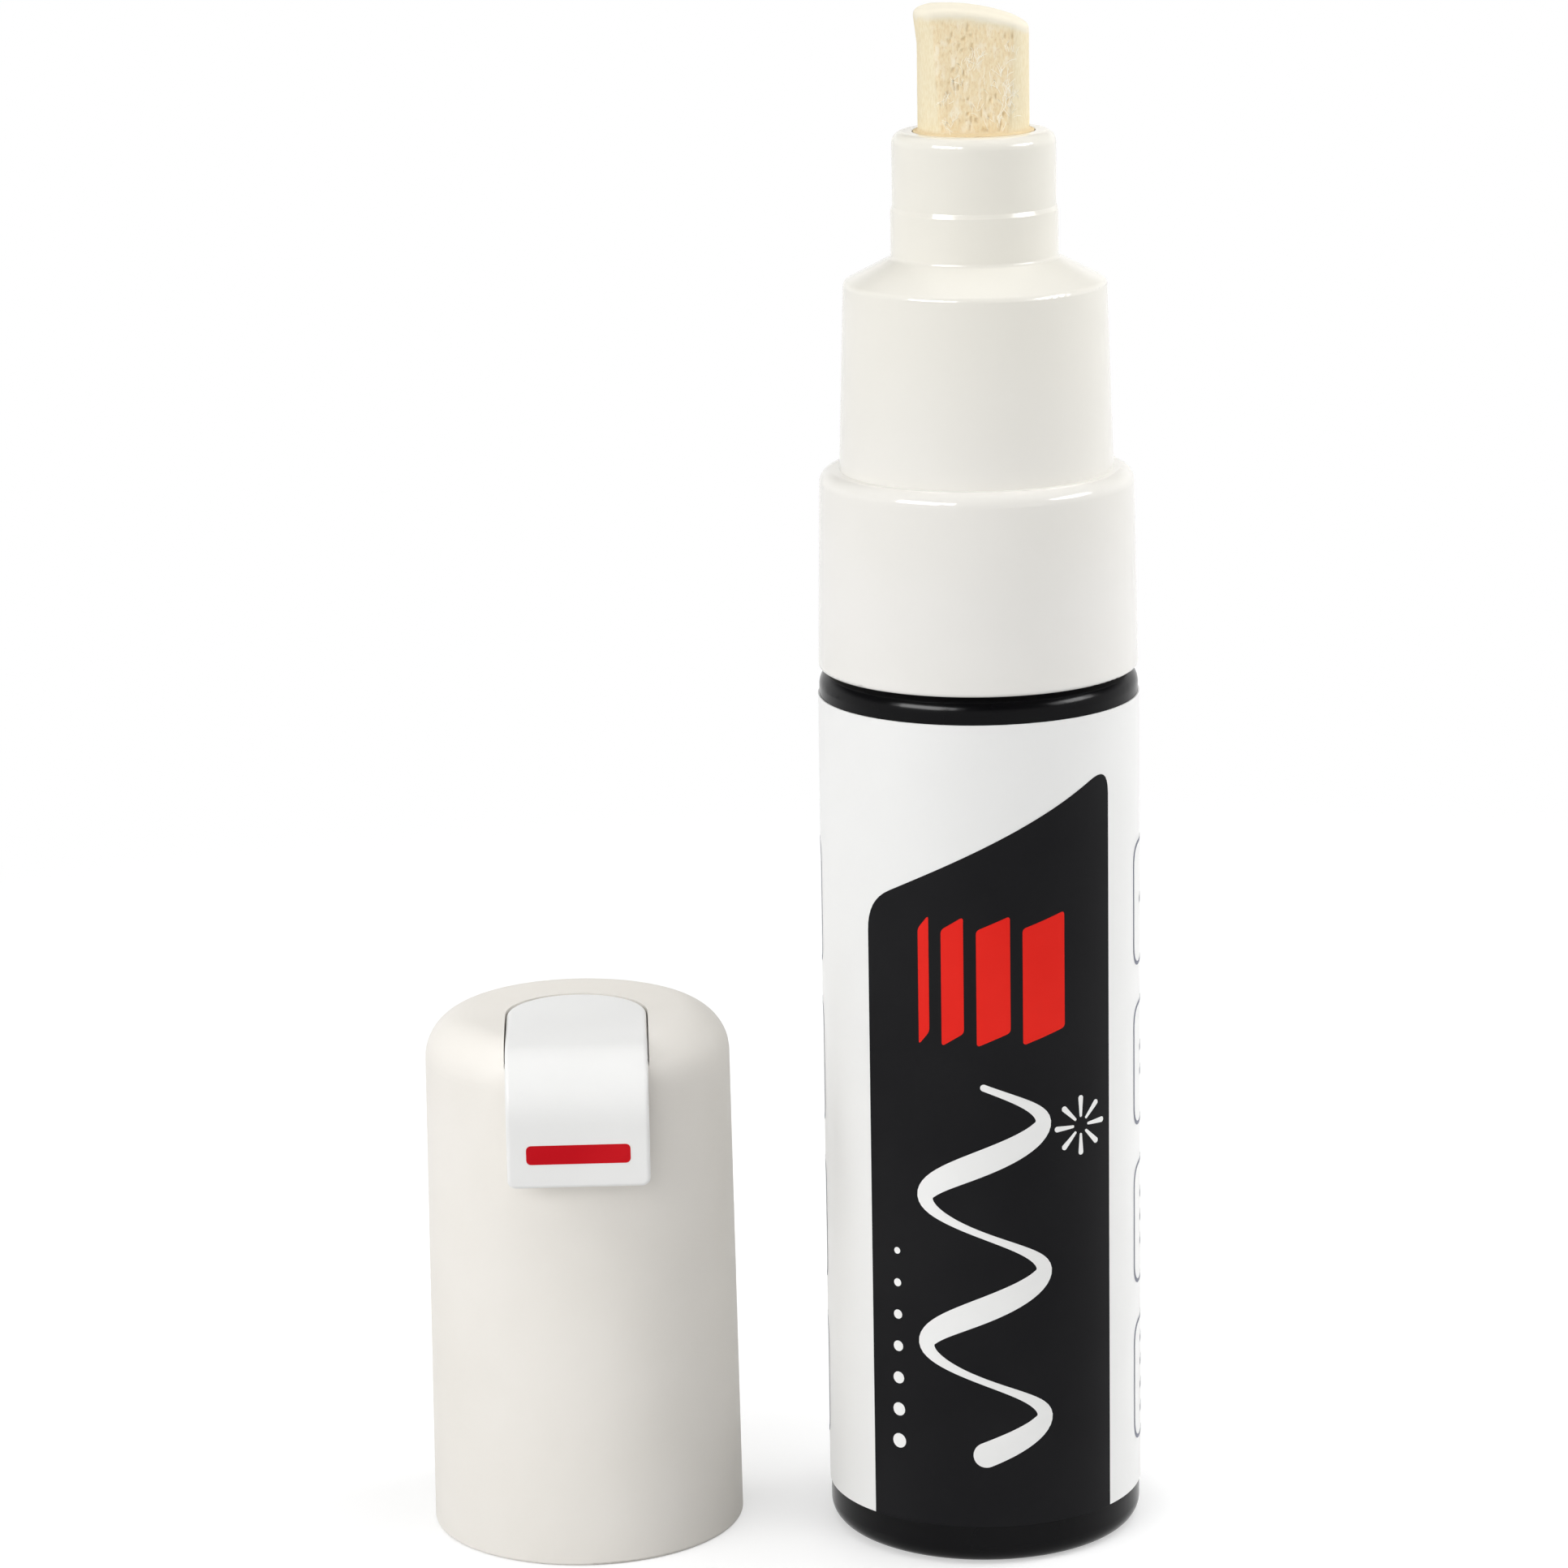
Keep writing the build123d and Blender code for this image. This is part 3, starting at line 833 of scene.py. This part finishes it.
def make_spring(materials):
    """The valve's spring as a piece with a mesh of its own, in place of the CAD spring."""
    mesh = nodes["valve_spring"].data.copy()
    mesh.name = "spring_wire"
    spring = add_piece("spring_wire", mesh, "marker", materials["steel"])
    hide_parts("valve_spring")
    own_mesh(spring)


def make_camera():
    """The camera, which looks along +Y and down."""
    data = bpy.data.cameras.new("camera")
    data.sensor_width = camera_sensor_mm
    data.lens = camera_lens_mm
    camera = bpy.data.objects.new("camera", data)
    tilt = Matrix.Rotation(math.pi / 2 - camera_pitch, 4, "X")
    camera.matrix_world = Matrix.Translation(camera_place) @ tilt @ Matrix.Rotation(-camera_roll, 4, "Z")
    bpy.context.scene.collection.objects.link(camera)
    bpy.context.scene.camera = camera


def make_light(name, azimuth, elevation, width, height, power):
    """A soft box that faces the object."""
    across, up = math.radians(azimuth), math.radians(elevation)
    outward = Vector((math.sin(across) * math.cos(up), -math.cos(across) * math.cos(up), math.sin(up)))
    data = bpy.data.lights.new(name, "AREA")
    data.shape = "RECTANGLE"
    data.size = width
    data.size_y = height
    data.energy = power
    lamp = bpy.data.objects.new(name, data)
    lamp.location = light_aim + outward * box_distance
    lamp.rotation_euler = (-outward).to_track_quat("-Z", "Y").to_euler()
    lamp.visible_diffuse = name in fill_boxes
    lamp.visible_glossy = name in glint_boxes
    bpy.context.scene.collection.objects.link(lamp)


def seen_ray(tree):
    """1 for a ray that shows what it meets: from the camera, off gloss or through glass."""
    path = node(tree, "ShaderNodeLightPath").outputs
    direct = worked(tree, "MAXIMUM", path["Is Camera Ray"], path["Is Glossy Ray"])
    return worked(tree, "MAXIMUM", direct, path["Is Transmission Ray"])


def make_world():
    """The world, whose seen side is a dome that grows dim overhead."""
    world = bpy.data.worlds.new("world")
    bpy.context.scene.world = world
    world.use_nodes = True
    tree = world.node_tree
    background = tree.nodes["Background"]
    background.inputs["Color"].default_value = white
    outward = node(tree, "ShaderNodeTexCoord").outputs["Generated"]
    heading = node(tree, "ShaderNodeSeparateXYZ", {0: outward})
    height = {"From Min": dome_white_below, "From Max": dome_dim_above, "To Min": 1.0, "To Max": dome_dim}
    dome = mapped(tree, heading.outputs["Z"], height)
    level = mapped(tree, seen_ray(tree), {"To Min": world_strength, "To Max": dome})
    tree.links.new(level, background.inputs["Strength"])


def make_floor():
    """The floor, which keeps the object's shadow near it and is plain white further out."""
    mesh = bpy.data.meshes.new("floor")
    corners = [(*corner, 0) for corner in rectangle(-floor_half, -floor_half, floor_half, floor_half)]
    mesh.from_pydata(corners, [], [(0, 1, 2, 3)])
    floor = bpy.data.objects.new("floor", mesh)
    bpy.context.scene.collection.objects.link(floor)
    material, tree, paper = new_material("floor_paper", Roughness=floor_rough, Specular_IOR_Level=0.0)
    tint = ramp(tree, grain(tree, floor_patch), floor_tones)
    tree.links.new(tint, paper.inputs["Base Color"])
    seen = seen_ray(tree)
    glow = node(tree, "ShaderNodeEmission", {"Strength": worked(tree, "MULTIPLY", seen, floor_lift)})
    lit = node(tree, "ShaderNodeAddShader", {0: paper.outputs[0], 1: glow.outputs[0]})
    spread = node(tree, "ShaderNodeVectorMath", {0: place_of(tree)}, operation="LENGTH").outputs["Value"]
    fade = mapped(tree, spread, {"From Min": floor_lit_radius, "From Max": floor_white_radius})
    far = worked(tree, "MULTIPLY", fade, seen)
    plain = node(tree, "ShaderNodeEmission", {"Strength": 1.0})
    mixed = node(tree, "ShaderNodeMixShader", {0: far, 1: lit.outputs[0], 2: plain.outputs[0]})
    tree.links.new(mixed.outputs[0], tree.nodes["Material Output"].inputs["Surface"])
    wear(floor, material)


def make_stage():
    """Camera, lights, world and floor."""
    bpy.context.scene.view_settings.view_transform = "Standard"
    make_camera()
    for name, values in (fill_boxes | glint_boxes).items():
        make_light(name, *values)
    make_world()
    make_floor()


materials = make_materials()
dress_nodes(materials)
make_nib(materials)
make_spring(materials)
make_label_film(materials)
make_print(materials)
make_stage()
